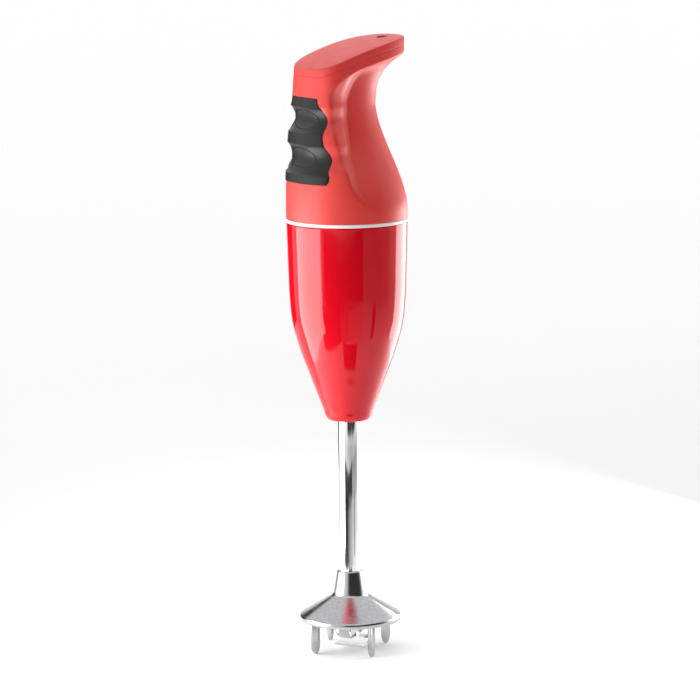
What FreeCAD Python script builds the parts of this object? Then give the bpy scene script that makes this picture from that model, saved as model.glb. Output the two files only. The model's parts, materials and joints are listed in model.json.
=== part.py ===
"""Immersion blender: a hand-held mixer with a pistol-shaped handle, a tapered motor
housing, a thin stem and a bell-shaped guard over a push-on blade.

Frame: millimetres, +Z up, -Y towards the switch buttons. The origin lies on the axis
of the stem, on the surface that the four guard prongs stand on.
"""
import FreeCAD, Part
import math
import operator
import os
import Sketcher

Vector = FreeCAD.Vector
document = FreeCAD.newDocument("ImmersionBlender")
sheet = document.addObject("Spreadsheet::Sheet", "Sizes")
sheet_names = []
pieces = []

SIGNS = {"+": operator.add, "-": operator.sub, "*": operator.mul, "/": operator.truediv}


class Size:
    """A measure that carries both its value and the sheet formula behind it."""

    def __init__(self, value, formula):
        self.value = float(value)
        self.formula = formula

    @staticmethod
    def of(thing):
        return thing if isinstance(thing, Size) else Size(thing, repr(float(thing)))

    @staticmethod
    def joined(left, sign, right):
        left, right = Size.of(left), Size.of(right)
        value = SIGNS[sign](left.value, right.value)
        return Size(value, "({} {} {})".format(left.formula, sign, right.formula))

    def __add__(self, other):
        return Size.joined(self, "+", other)

    def __radd__(self, other):
        return Size.joined(other, "+", self)

    def __sub__(self, other):
        return Size.joined(self, "-", other)

    def __rsub__(self, other):
        return Size.joined(other, "-", self)

    def __mul__(self, other):
        return Size.joined(self, "*", other)

    def __rmul__(self, other):
        return Size.joined(other, "*", self)

    def __truediv__(self, other):
        return Size.joined(self, "/", other)

    def __neg__(self):
        return Size.joined(0, "-", self)


def size(name, value):
    """Enter a driving dimension in the sheet under its own alias."""
    sheet_names.append(name)
    cell = "B{}".format(len(sheet_names))
    sheet.set("A{}".format(len(sheet_names)), name)
    sheet.set(cell, str(value))
    sheet.setAlias(cell, name)
    return Size(value, "Sizes." + name)


# ---------------------------------------------------------------- driving dimensions
# Fits
running_clearance = size("running_clearance", 0.04)
slide_clearance = size("slide_clearance", 0.08)
joint_gap = size("joint_gap", 0.3)
cap_gap = size("cap_gap", 0.35)

# Guard and stem
rim_radius = size("rim_radius", 28.4)
rim_height = size("rim_height", 2.7)
bell_rise = size("bell_rise", 11.4)
bell_wall = size("bell_wall", 1.6)
collar_base_radius = size("collar_base_radius", 9.5)
collar_top_radius = size("collar_top_radius", 7.2)
collar_height = size("collar_height", 13.7)
prong_height = size("prong_height", 17.6)
prong_reach = size("prong_reach", 22.8)
prong_depth = size("prong_depth", 5.4)
prong_thickness = size("prong_thickness", 2.0)
prong_count = 4
stem_radius = size("stem_radius", 6.0)
stem_wall = size("stem_wall", 1.0)
stem_show = size("stem_show", 85.6)
stem_grip = size("stem_grip", 14.0)
shaft_radius = size("shaft_radius", 2.5)
bush_length = size("bush_length", 11.0)
seal_height = size("seal_height", 3.0)
seal_ring_wall = size("seal_ring_wall", 1.6)

# Push-on blade
hub_radius = size("hub_radius", 4.45)
hub_height = size("hub_height", 16.0)
hub_lift = size("hub_lift", 8.3)
strip_width = size("strip_width", 7.0)
strip_thickness = size("strip_thickness", 0.9)
wing_length = size("wing_length", 11.5)
wing_root = size("wing_root", 6.2)
fold_reach = size("fold_reach", 9.0)
fold_drop = size("fold_drop", 5.2)
tail_reach = size("tail_reach", 8.5)
drive_pin_radius = size("drive_pin_radius", 0.9)
notch_depth = size("notch_depth", 4.0)
blade_turn = size("blade_turn", 36.0)

# Motor housing and trim
body_radius = size("body_radius", 33.5)
housing_height = size("housing_height", 110.8)
housing_wall = size("housing_wall", 2.4)
nose_radius = size("nose_radius", 11.2)
nose_round = size("nose_round", 3.2)
cone_height = size("cone_height", 44.0)
shoulder_radius = size("shoulder_radius", 29.4)
shoulder_height = size("shoulder_height", 50.0)
barrel_radius = size("barrel_radius", 32.3)
ring_height = size("ring_height", 1.8)
spigot_depth = size("spigot_depth", 6.0)
spigot_wall = size("spigot_wall", 2.0)

# Motor
motor_shaft_radius = size("motor_shaft_radius", 2.5)
stack_height = size("stack_height", 28.0)
stack_base = size("stack_base", 62.0)
stator_radius = size("stator_radius", 25.0)
stator_bore = size("stator_bore", 13.0)
yoke_wall = size("yoke_wall", 4.4)
air_gap = size("air_gap", 0.4)
end_turn = size("end_turn", 5.2)
commutator_radius = size("commutator_radius", 8.0)
commutator_height = size("commutator_height", 11.0)
brush_width = size("brush_width", 6.0)
brush_height = size("brush_height", 4.4)
brush_length = size("brush_length", 8.0)
brush_travel = size("brush_travel", 2.5)
holder_wall = size("holder_wall", 0.8)
bearing_radius = size("bearing_radius", 8.0)
bearing_height = size("bearing_height", 5.0)
fan_radius = size("fan_radius", 21.0)
fan_height = size("fan_height", 6.5)
coupling_radius = size("coupling_radius", 6.0)
coupling_height = size("coupling_height", 10.0)
bracket_plate = size("bracket_plate", 2.4)
motor_screw_radius = size("motor_screw_radius", 1.5)
motor_screw_circle = size("motor_screw_circle", 22.4)
mount_ring_wall = size("mount_ring_wall", 1.6)

# Handle
handle_wall = size("handle_wall", 2.3)
waist_height = size("waist_height", 62.3)
waist_half_width = size("waist_half_width", 14.4)
waist_rear = size("waist_rear", 17.1)
waist_front = size("waist_front", 23.0)
neck_flare = size("neck_flare", 0.6)
beak_height = size("beak_height", 89.3)
beak_rear = size("beak_rear", 33.0)
block_front = size("block_front", 25.0)
lid_half_width = size("lid_half_width", 22.8)
crown_front_height = size("crown_front_height", 82.0)
crown_rear_height = size("crown_rear_height", 98.2)
crown_sag = size("crown_sag", 2.7)
lid_height = size("lid_height", 4.2)
lid_wall = size("lid_wall", 2.4)
groove_depth = size("groove_depth", 2.4)
lower_groove_height = size("lower_groove_height", 35.2)
upper_groove_height = size("upper_groove_height", 55.6)
groove_half_height = size("groove_half_height", 8.4)
inlet_radius = size("inlet_radius", 3.25)
inlet_setback = size("inlet_setback", 23.4)
gland_wall = size("gland_wall", 2.0)
gland_height = size("gland_height", 4.0)

# Switch pad and buttons
pad_base_height = size("pad_base_height", 21.8)
pad_top_height = size("pad_top_height", 67.0)
pad_thickness = size("pad_thickness", 1.6)
pad_proud = size("pad_proud", 0.4)
pad_lower_half_width = size("pad_lower_half_width", 21.0)
pad_bridge_half_width = size("pad_bridge_half_width", 17.6)
pad_upper_half_width = size("pad_upper_half_width", 17.4)
pad_top_half_width = size("pad_top_half_width", 13.4)
cap_half_width = size("cap_half_width", 13.0)
cap_half_height = size("cap_half_height", 5.2)
cap_travel = size("cap_travel", 1.2)
cap_skirt = size("cap_skirt", 0.4)
plunger_radius = size("plunger_radius", 2.2)
spring_radius = size("spring_radius", 3.4)
switch_depth = size("switch_depth", 12.0)
switch_half_width = size("switch_half_width", 8.5)
switch_front = size("switch_front", 15.5)

# Heights that follow from the sizes above, and the seal that fits the stem's bore
seal_radius = stem_radius - stem_wall
rim_base = prong_height
rim_top = rim_base + rim_height
collar_base = rim_top + bell_rise
collar_top = collar_base + collar_height
housing_base = collar_top + stem_show
housing_top = housing_base + housing_height
handle_base = housing_top + ring_height
stack_bottom = housing_base + stack_base
stack_top = stack_bottom + stack_height


# ---------------------------------------------------------------- building helpers
def bind(thing, name, value):
    thing.setExpression(name, Size.of(value).formula)


def keep(thing, label):
    """Name a finished sub-part; its label is the name of its file."""
    thing.Label = label
    pieces.append(thing)
    return thing


def body_of(label):
    return keep(document.addObject("PartDesign::Body", label.title().replace("_", "")), label)


def origin_feature(body, role):
    return [item for item in body.Origin.OriginFeatures if item.Role == role][0]


def polygon_sketch(body, name, role, corners):
    """A closed sketch whose every corner is tied to the sheet."""
    sketch = body.newObject("Sketcher::SketchObject", name)
    sketch.AttachmentSupport = [(origin_feature(body, role), "")]
    sketch.MapMode = "FlatFace"
    corners = [(Size.of(across), Size.of(up)) for across, up in corners]
    places = [Vector(across.value, up.value, 0) for across, up in corners]
    for index, place in enumerate(places):
        sketch.addGeometry(Part.LineSegment(place, places[(index + 1) % len(places)]))
    for index in range(len(places)):
        following = (index + 1) % len(places)
        sketch.addConstraint(Sketcher.Constraint("Coincident", index, 2, following, 1))
    for index, corner in enumerate(corners):
        for kind, measure in zip(("DistanceX", "DistanceY"), corner):
            number = sketch.addConstraint(
                Sketcher.Constraint(kind, -1, 1, index, 1, measure.value))
            sketch.setExpression("Constraints[{}]".format(number), measure.formula)
    return sketch


def revolve(body, name, corners, kind="Revolution"):
    """Spin a half outline, given as radius and height, about the stem axis."""
    sketch = polygon_sketch(body, name + "_outline", "XZ_Plane", corners)
    feature = body.newObject("PartDesign::" + kind, name)
    feature.Profile = sketch
    feature.ReferenceAxis = (sketch, ["V_Axis"])
    feature.Angle = 360
    return feature


def turned(label, corners):
    body = body_of(label)
    revolve(body, label + "_turning", corners)
    return body


def tube_corners(inner, outer, low, high):
    return [(inner, low), (outer, low), (outer, high), (inner, high)]


def round_edges(body, label, circles, radius):
    """Fillet the circular edges that lie at the given radii and heights."""
    document.recompute()
    base = body.Tip
    names = []
    for number, edge in enumerate(base.Shape.Edges, 1):
        if not isinstance(edge.Curve, Part.Circle):
            continue
        for ring_radius, height in circles:
            same_radius = abs(edge.Curve.Radius - ring_radius.value) < 1e-4
            if same_radius and abs(edge.Curve.Center.z - height.value) < 1e-4:
                names.append("Edge{}".format(number))
    fillet = body.newObject("PartDesign::Fillet", label)
    fillet.Base = (base, names)
    bind(fillet, "Radius", radius)
    document.recompute()
    return fillet


def patterned(body, feature, count):
    """Repeat a feature evenly about the stem axis."""
    document.recompute()
    pattern = body.newObject("PartDesign::PolarPattern", feature.Name + "_pattern")
    pattern.Originals = [feature]
    pattern.Axis = (origin_feature(body, "Z_Axis"), [""])
    pattern.Angle = 360
    pattern.Occurrences = count
    body.Tip = pattern
    document.recompute()
    return pattern


def screw_holes(body, radius, high, low, turn):
    """A pair of round holes for the long motor screws, cut down from one level to another."""
    sketch = body.newObject("Sketcher::SketchObject", body.Label + "_hole_outline")
    sketch.AttachmentSupport = [(origin_feature(body, "XY_Plane"), "")]
    sketch.MapMode = "FlatFace"
    across = motor_screw_circle * math.cos(math.radians(turn))
    along = motor_screw_circle * math.sin(math.radians(turn))
    sketch.addGeometry(Part.Circle(Vector(across.value, along.value, 0), Vector(0, 0, 1),
                                   radius.value))
    for kind, measure in (("DistanceX", across), ("DistanceY", along)):
        number = sketch.addConstraint(Sketcher.Constraint(kind, -1, 1, 0, 3, measure.value))
        sketch.setExpression("Constraints[{}]".format(number), measure.formula)
    number = sketch.addConstraint(Sketcher.Constraint("Radius", 0, radius.value))
    sketch.setExpression("Constraints[{}]".format(number), radius.formula)
    bind(sketch, "AttachmentOffset.Base.z", low)
    hole = body.newObject("PartDesign::Pocket", body.Label + "_hole")
    hole.Profile = sketch
    hole.Reversed = True
    bind(hole, "Length", high - low)
    patterned(body, hole, 2)


def cylinder(name, radius, height, place=(0, 0, 0), axis="Z"):
    """A Part cylinder that starts at place and runs along the named axis."""
    thing = document.addObject("Part::Cylinder", name)
    bind(thing, "Radius", radius)
    bind(thing, "Height", height)
    turns = {"X": (Vector(0, 1, 0), 90), "Y": (Vector(1, 0, 0), -90), "Z": (Vector(0, 0, 1), 0)}
    thing.Placement.Rotation = FreeCAD.Rotation(*turns[axis])
    for letter, measure in zip("xyz", place):
        bind(thing, "Placement.Base." + letter, measure)
    return thing


def block(name, low, high):
    """A Part box between two opposite corners."""
    thing = document.addObject("Part::Box", name)
    low = [Size.of(measure) for measure in low]
    high = [Size.of(measure) for measure in high]
    for side, first, last in zip(("Length", "Width", "Height"), low, high):
        bind(thing, side, last - first)
    for letter, measure in zip("xyz", low):
        bind(thing, "Placement.Base." + letter, measure)
    return thing


def fuse(name, *things):
    thing = document.addObject("Part::MultiFuse", name)
    thing.Shapes = list(things)
    return thing


def cut(name, base, *tools):
    thing = document.addObject("Part::Cut", name)
    thing.Base = base
    thing.Tool = tools[0] if len(tools) == 1 else fuse(name + "_tools", *tools)
    return thing


def group(name, *things):
    """Separate solids that share one node, such as a set of screws."""
    thing = document.addObject("Part::Compound", name)
    thing.Links = list(things)
    return thing


def solid_feature(label, shape):
    thing = document.addObject("Part::Feature", label.title().replace("_", ""))
    thing.Shape = shape
    return keep(thing, label)


# ---------------------------------------------------------------- guard and stem
def make_guard():
    """Bell, collar and four prongs, pressed from one piece of stainless steel."""
    guard = body_of("guard")
    inner_rim = rim_radius - bell_wall
    seat_base = collar_base - bell_wall - seal_height
    revolve(guard, "bell", [
        (seal_radius, seat_base), (collar_base_radius - bell_wall, seat_base),
        (collar_base_radius - bell_wall, collar_base - bell_wall * 1.2),
        (inner_rim - bell_wall, rim_top - bell_wall * 0.4), (inner_rim, rim_base),
        (rim_radius, rim_base), (rim_radius, rim_top), (collar_base_radius, collar_base),
        (collar_top_radius, collar_top - 0.7), (collar_top_radius - 0.6, collar_top),
        (stem_radius, collar_top), (stem_radius, collar_top - stem_grip),
        (seal_radius, collar_top - stem_grip)])
    tip = prong_thickness
    shoulder = prong_height * 0.22
    outer, inner = prong_reach + prong_depth / 2, prong_reach - prong_depth / 2

    def wall_middle(radius):
        """Height of the middle of the bell's wall at a radius."""
        slope = bell_rise / (rim_radius - collar_base_radius)
        return rim_top + (rim_radius - radius) * slope - bell_wall * 0.6

    sketch = polygon_sketch(guard, "prong_outline", "XZ_Plane", [
        (prong_reach - tip / 2, 0), (prong_reach + tip / 2, 0), (outer, shoulder),
        (outer, wall_middle(outer)), (inner, wall_middle(inner)), (inner, shoulder)])
    prong = guard.newObject("PartDesign::Pad", "prong")
    prong.Profile = sketch
    prong.Midplane = True
    bind(prong, "Length", prong_thickness)
    patterned(guard, prong, prong_count)
    return guard


def make_stem():
    inner = stem_radius - stem_wall
    bottom = collar_top - stem_grip
    socket_top = housing_base + housing_wall + 14
    turned("stem_tube", tube_corners(inner, stem_radius, bottom, socket_top - 2))
    bore = shaft_radius + running_clearance
    seat_base = collar_base - bell_wall - seal_height
    turned("shaft_seal", tube_corners(bore, seal_radius, seat_base, bottom))
    turned("lower_stem_bush", tube_corners(bore, inner, bottom, bottom + bush_length))
    high = socket_top - 2
    turned("upper_stem_bush", tube_corners(bore, inner, high - bush_length, high))
    floor_top = housing_base + housing_wall
    turned("stem_socket", [
        (stem_radius, floor_top), (nose_radius - 0.4, floor_top),
        (nose_radius - 0.4, floor_top + 3), (stem_radius + 2.4, floor_top + 5),
        (stem_radius + 2.4, socket_top), (stem_radius, socket_top)])
    turned("stem_seal_ring", tube_corners(
        stem_radius, stem_radius + seal_ring_wall, housing_base + 0.4, floor_top))


def make_drive_shaft():
    top = housing_base + 27
    bottom = hub_lift + 1.5
    turned("drive_shaft", [
        (0, bottom), (shaft_radius - 0.5, bottom), (shaft_radius, bottom + 0.8),
        (shaft_radius, top), (0, top)])
    pin_height = hub_lift + hub_height - notch_depth / 2
    half = hub_radius - 0.2
    along = cylinder("drive_pin_rod", drive_pin_radius, half * 2, (-half, 0, pin_height), "X")
    bore = cylinder("drive_pin_gap", shaft_radius, shaft_radius * 4,
                    (0, 0, pin_height - shaft_radius * 2))
    keep(cut("DrivePin", along, bore), "drive_pin")
    lower = housing_base + 19
    turned("drive_dog", [
        (shaft_radius, lower), (coupling_radius, lower), (coupling_radius, lower + 5),
        (shaft_radius + 1.6, lower + 7), (shaft_radius + 1.6, lower + 8), (shaft_radius, lower + 8)])


# ---------------------------------------------------------------- push-on blade
def make_blade():
    """A notched hub that rides on the shaft, over a cross of bent, pointed wings."""
    top = hub_lift + hub_height
    bore = shaft_radius + slide_clearance
    hub = turned("blade_hub", [
        (bore, hub_lift), (hub_radius, hub_lift), (hub_radius, top - 0.4),
        (hub_radius - 0.4, top), (bore, top)])
    half = drive_pin_radius + slide_clearance * 2
    sketch = polygon_sketch(hub, "notch_outline", "XZ_Plane", [
        (-half, top - notch_depth), (half, top - notch_depth), (half, top + 1), (-half, top + 1)])
    sketch.AttachmentSupport = [(origin_feature(hub, "YZ_Plane"), "")]
    notch = hub.newObject("PartDesign::Pocket", "notches")
    notch.Profile = sketch
    notch.Midplane = True
    bind(notch, "Length", hub_radius * 4)
    document.recompute()
    hub.Tip = notch

    thickness = strip_thickness.value
    width = strip_width.value
    root_top = hub_lift.value

    def at_angle(shape, degrees):
        turned_shape = shape.copy()
        turned_shape.rotate(Vector(0, 0, 0), Vector(0, 0, 1), blade_turn.value + degrees)
        return turned_shape

    def wing(bend_degrees):
        """A flat arm with a pointed end that is bent up where the arm leaves the hub."""
        length = wing_length.value
        corners = [(0, -width / 2), (length * 0.45, -width / 2), (length, width * 0.12),
                   (length * 0.92, width / 2), (0, width / 2)]
        outline = Part.makePolygon([Vector(x, y, 0) for x, y in corners + corners[:1]])
        plate = Part.Face(outline).extrude(Vector(0, 0, thickness))
        plate.rotate(Vector(0, 0, thickness / 2), Vector(0, 1, 0), -bend_degrees)
        plate.translate(Vector(wing_root.value, 0, root_top - thickness))
        elbow = Part.makeCylinder(thickness / 2, width, Vector(0, 0, 0), Vector(0, 1, 0))
        elbow.translate(Vector(wing_root.value, -width / 2, root_top - thickness / 2))
        return plate.fuse(elbow)

    reach = wing_root.value
    arm = Part.makeBox(reach * 2, width, thickness, Vector(-reach, -width / 2, root_top - thickness))
    cross = arm.fuse(at_angle(arm, 90 - blade_turn.value))
    cross.rotate(Vector(0, 0, 0), Vector(0, 0, 1), blade_turn.value)
    for degrees, bend in ((90, 12), (180, 62), (270, 52)):
        cross = cross.fuse(at_angle(wing(bend), degrees))
    drop = fold_drop.value
    bend_radius = drop / 2
    centre_height = root_top - thickness / 2 - bend_radius
    end = fold_reach.value
    upper = Part.makeBox(end - reach + 1, width, thickness,
                         Vector(reach - 1, -width / 2, root_top - thickness))
    ring = Part.makeCylinder(bend_radius + thickness / 2, width,
                             Vector(end, -width / 2, centre_height), Vector(0, 1, 0))
    ring = ring.cut(Part.makeCylinder(bend_radius - thickness / 2, width * 2,
                                      Vector(end, -width, centre_height), Vector(0, 1, 0)))
    ring = ring.common(Part.makeBox(drop * 2, width * 2, drop * 3,
                                    Vector(end, -width, centre_height - drop * 1.5)))
    lower_base = centre_height - bend_radius - thickness / 2
    lower = Part.makeBox(end + tail_reach.value, width, thickness,
                         Vector(-tail_reach.value, -width / 2, lower_base))
    for shape in (upper, ring, lower):
        cross = cross.fuse(at_angle(shape, 0))
    opening = Part.makeCylinder(shaft_radius.value + 0.3, thickness * 3,
                                Vector(0, 0, root_top - thickness * 2))
    solid_feature("blade_cross", cross.cut(opening).removeSplitter())


# ---------------------------------------------------------------- motor housing
def housing_inside(height):
    """Inner radius of the housing's barrel at a height above the shoulder."""
    low = housing_base + cone_height + housing_wall * 0.4
    high = housing_base + shoulder_height + cone_height * 0.4
    share = (height - low) / (high - low)
    return shoulder_radius - housing_wall + (barrel_radius - shoulder_radius) * share


def make_housing():
    wall = housing_wall
    cone_top = housing_base + shoulder_height
    housing = turned("motor_housing", [
        (stem_radius + seal_ring_wall, housing_base), (nose_radius, housing_base),
        (nose_radius + nose_round, housing_base + nose_round * 1.2),
        (shoulder_radius, housing_base + cone_height),
        (barrel_radius, cone_top + cone_height * 0.4), (body_radius, housing_top),
        (body_radius - wall, housing_top), (barrel_radius - wall, cone_top + cone_height * 0.4),
        (shoulder_radius - wall, housing_base + cone_height + wall * 0.4),
        (nose_radius + nose_round - wall * 0.9, housing_base + nose_round * 1.2 + wall),
        (nose_radius, housing_base + wall),
        (stem_radius + seal_ring_wall, housing_base + wall)])
    round_edges(housing, "shoulder_round",
                [(shoulder_radius, housing_base + cone_height)], Size.of(46.0))
    round_edges(housing, "nose_edge",
                [(nose_radius + nose_round, housing_base + nose_round * 1.2),
                 (nose_radius, housing_base)], nose_round / 2)
    turned("trim_ring", tube_corners(body_radius - wall + 0.05, body_radius + 0.15,
                                     housing_top, handle_base))


# ---------------------------------------------------------------- motor
def make_rotor():
    shaft_bottom = housing_base + 28
    shaft_top = stack_top + end_turn + commutator_height + bearing_height + 8
    radius = motor_shaft_radius
    turned("motor_shaft", [(0, shaft_bottom), (radius, shaft_bottom), (radius, shaft_top),
                           (0, shaft_top)])
    turned("motor_dog", [
        (radius, shaft_bottom + 1), (radius + 1.6, shaft_bottom + 1),
        (radius + 1.6, shaft_bottom + 3), (coupling_radius, shaft_bottom + 4),
        (coupling_radius, shaft_bottom + 9), (radius, shaft_bottom + 9)])
    sleeve_low = housing_base + 20
    turned("coupling_sleeve", tube_corners(
        coupling_radius, coupling_radius + 1.8, sleeve_low, shaft_bottom + 8))

    core_radius = stator_bore - air_gap
    core = turned("armature_core", tube_corners(radius, core_radius, stack_bottom, stack_top))
    slot_half = core_radius * 0.09
    slot_floor = core_radius * 0.58
    sketch = polygon_sketch(core, "slot_outline", "XY_Plane", [
        (slot_floor, -slot_half), (core_radius + 1, -slot_half), (core_radius + 1, slot_half),
        (slot_floor, slot_half)])
    slot = core.newObject("PartDesign::Pocket", "slot")
    slot.Profile = sketch
    slot.Type = "ThroughAll"
    slot.Reversed = True
    patterned(core, slot, 12)

    windings = body_of("armature_windings")
    crest, shoulder = slot_floor + 1, slot_floor + 3
    revolve(windings, "upper_end_turns", [
        (radius, stack_top), (shoulder, stack_top), (shoulder, stack_top + 2),
        (crest, stack_top + end_turn - 0.6), (radius, stack_top + end_turn - 0.6)])
    low = stack_bottom
    revolve(windings, "lower_end_turns", [
        (radius, low), (radius, low - end_turn + 0.6), (crest, low - end_turn + 0.6),
        (shoulder, low - 2), (shoulder, low)])
    half = slot_half - slide_clearance
    sketch = polygon_sketch(windings, "slot_wire_outline", "XZ_Plane", [
        (slot_floor + 0.1, low - 1), (core_radius - 1, low - 0.5), (core_radius - 1, stack_top + 0.5),
        (slot_floor + 0.1, stack_top + 1)])
    wire = windings.newObject("PartDesign::Pad", "slot_wires")
    wire.Profile = sketch
    wire.Midplane = True
    bind(wire, "Length", half * 2)
    patterned(windings, wire, 12)

    low = stack_top + end_turn
    drum = turned("commutator", [
        (radius, low), (commutator_radius + 1, low), (commutator_radius + 1, low + 1.4),
        (commutator_radius, low + 1.4), (commutator_radius, low + commutator_height),
        (radius, low + commutator_height)])
    groove = polygon_sketch(drum, "bar_gap_outline", "XY_Plane", [
        (commutator_radius - 0.7, -0.2), (commutator_radius + 2, -0.2),
        (commutator_radius + 2, 0.2), (commutator_radius - 0.7, 0.2)])
    gap = drum.newObject("PartDesign::Pocket", "bar_gap")
    gap.Profile = groove
    gap.Type = "ThroughAll"
    gap.Reversed = True
    patterned(drum, gap, 24)

    fan_low = stack_bottom - end_turn - fan_height - 1.5
    fan = turned("cooling_fan", [
        (radius, fan_low), (fan_radius, fan_low), (fan_radius, fan_low + 1.2),
        (radius + 3, fan_low + 1.8), (radius + 3, fan_low + fan_height), (radius, fan_low + fan_height)])
    sketch = polygon_sketch(fan, "vane_outline", "XZ_Plane", [
        (radius + 2, fan_low + 1), (fan_radius, fan_low + 1), (fan_radius, fan_low + fan_height),
        (radius + 5, fan_low + fan_height), (radius + 2, fan_low + fan_height - 2)])
    vane = fan.newObject("PartDesign::Pad", "vane")
    vane.Profile = sketch
    vane.Midplane = True
    vane.Length = 1.0
    patterned(fan, vane, 9)


def make_stator():
    core = turned("stator_core", tube_corners(
        stator_radius - yoke_wall, stator_radius, stack_bottom, stack_top))
    bore = stator_bore
    half_shoe = bore * 0.62
    reach = stator_radius - yoke_wall + 1
    sketch = polygon_sketch(core, "pole_outline", "XY_Plane", [
        (-half_shoe, bore + 2.6), (-half_shoe, bore * 0.5), (half_shoe, bore * 0.5),
        (half_shoe, bore + 2.6), (half_shoe * 0.6, bore + 2.6), (half_shoe * 0.6, reach),
        (-half_shoe * 0.6, reach), (-half_shoe * 0.6, bore + 2.6)])
    pole = core.newObject("PartDesign::Pad", "pole")
    pole.Profile = sketch
    bind(pole, "Length", stack_top)
    patterned(core, pole, 2)
    document.recompute()
    revolve(core, "below_stack", [(0, -1), (stator_radius + 1, -1), (stator_radius + 1, stack_bottom),
                                  (0, stack_bottom)], "Groove")
    document.recompute()
    revolve(core, "rotor_bore", [(0, stack_bottom - 1), (bore, stack_bottom - 1),
                                 (bore, stack_top + 1), (0, stack_top + 1)], "Groove")

    coils = []
    for name, side in (("front", -1), ("rear", 1)):
        low, high = stack_bottom - end_turn, stack_top + end_turn
        inner, outer = bore + 2.7, stator_radius - yoke_wall - 0.2
        frame_low, frame_high = (inner, outer) if side > 0 else (-outer, -inner)
        wide = half_shoe + 0.8
        slab = block(name + "_coil_slab", (-wide, frame_low, low), (wide, frame_high, high))
        window = block(name + "_coil_window",
                       (-half_shoe * 0.6, frame_low - 1, stack_bottom),
                       (half_shoe * 0.6, frame_high + 1, stack_top))
        coils.append(cut(name + "_coil", slab, window))
    ring = cylinder("coil_limit", stator_radius - yoke_wall, stack_height + end_turn * 2,
                    (0, 0, stack_bottom - end_turn))
    both = group("coil_pair", *coils)
    limited = document.addObject("Part::MultiCommon", "FieldCoils")
    limited.Shapes = [both, ring]
    keep(limited, "field_coils")


def make_motor_frame():
    """Bearings and the two brackets that carry them, clamped by two long screws."""
    bore = motor_shaft_radius + running_clearance
    low = housing_base + 37.5
    turned("lower_bearing", tube_corners(bore, bearing_radius, low, low + bearing_height))
    fan_room = fan_radius + 0.8
    flange = stator_radius - 0.2
    lower = turned("lower_bracket", [
        (bearing_radius, low), (bearing_radius + 2, low - 1), (bearing_radius + 2, low + 2.6),
        (fan_room, low + bearing_height - 0.6), (fan_room + 1.4, low + bearing_height + 1),
        (fan_room + 1.4, stack_bottom - 6), (flange, stack_bottom - 4), (flange, stack_bottom),
        (stator_radius - yoke_wall + 0.2, stack_bottom),
        (stator_radius - yoke_wall + 0.2, stack_bottom - 4),
        (fan_room, stack_bottom - 6), (fan_room, low + bearing_height + 1.4),
        (fan_room - 1, low + bearing_height + 0.8), (bearing_radius, low + bearing_height)])
    high = stack_top + end_turn + commutator_height + 1.6
    turned("upper_bearing", tube_corners(bore, bearing_radius, high, high + bearing_height))
    inside = body_radius - housing_wall - spigot_wall - mount_ring_wall - 0.3
    upper = turned("upper_bracket", [
        (bearing_radius, high), (bearing_radius + 2, high), (inside, high),
        (inside, high + bracket_plate), (bearing_radius + 2, high + bracket_plate),
        (bearing_radius + 2, high + bearing_height), (bearing_radius, high + bearing_height)])
    turned("motor_mount_ring", tube_corners(
        inside, inside + mount_ring_wall, high - 1.2, high + bracket_plate + 1.2))
    ring_low = stack_bottom - 4
    turned("lower_mount_ring", tube_corners(
        flange, housing_inside(ring_low) - 0.05, ring_low, ring_low + 3))
    turn = 35
    head_base = high + bracket_plate
    free_hole = motor_screw_radius + slide_clearance
    screw_holes(lower, motor_screw_radius, stack_bottom, stack_bottom - 4, turn)
    screw_holes(upper, free_hole, head_base, high, turn)
    screw_holes(document.getObject("StatorCore"), free_hole, stack_top, stack_bottom, turn)
    radius = motor_screw_radius
    long_screws = []
    for number, angle in enumerate((turn, turn + 180)):
        centre = Size.of(math.cos(math.radians(angle))), Size.of(math.sin(math.radians(angle)))
        across, along = [motor_screw_circle * measure for measure in centre]
        name = "motor_screw_{}".format(number)
        shank = cylinder(name + "_shank", radius, head_base - stack_bottom + 4,
                         (across, along, stack_bottom - 4))
        head = cylinder(name + "_head", radius * 1.9, Size.of(1.8), (across, along, head_base))
        long_screws.append(fuse(name, shank, head))
    keep(group("MotorScrews", *long_screws), "motor_screws")


def make_brushes():
    centre_height = stack_top + end_turn + 1.4 + (commutator_height - 1.4) / 2
    start = commutator_radius + running_clearance
    for name, side in (("left", -1), ("right", 1)):
        def along(first, last):
            return (first, last) if side > 0 else (-last, -first)
        low, high = along(start, start + brush_length)
        keep(block(name + "_brush_block",
                   (low, -brush_width / 2, centre_height - brush_height / 2),
                   (high, brush_width / 2, centre_height + brush_height / 2)),
             name + "_carbon_brush")
        low, high = along(start + 1.6, start + brush_length + brush_travel + 5)
        outer = block(name + "_holder_outer",
                      (low, -brush_width / 2 - slide_clearance - holder_wall,
                       centre_height - brush_height / 2 - slide_clearance - holder_wall),
                      (high, brush_width / 2 + slide_clearance + holder_wall,
                       centre_height + brush_height / 2 + slide_clearance + holder_wall))
        low, high = along(start, start + brush_length + brush_travel + 4.2)
        channel = block(name + "_holder_channel",
                        (low, -brush_width / 2 - slide_clearance,
                         centre_height - brush_height / 2 - slide_clearance),
                        (high, brush_width / 2 + slide_clearance,
                         centre_height + brush_height / 2 + slide_clearance))
        low, high = along(start + 4, start + 11)
        leg = block(name + "_holder_leg",
                    (low, -brush_width / 2, centre_height + brush_height / 2 + slide_clearance + 0.4),
                    (high, brush_width / 2, stack_top + end_turn + commutator_height + 1.6))
        keep(cut(name + "_holder", fuse(name + "_holder_frame", outer, leg), channel),
             name + "_brush_holder")
        spring_low, spring_high = along(start + brush_length, start + brush_length + brush_travel + 4.2)
        spring_coil(name + "_brush_spring", 1.6, 0.32, 5,
                    Vector(spring_low.value, 0, centre_height.value),
                    Vector(spring_high.value, 0, centre_height.value))


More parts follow.
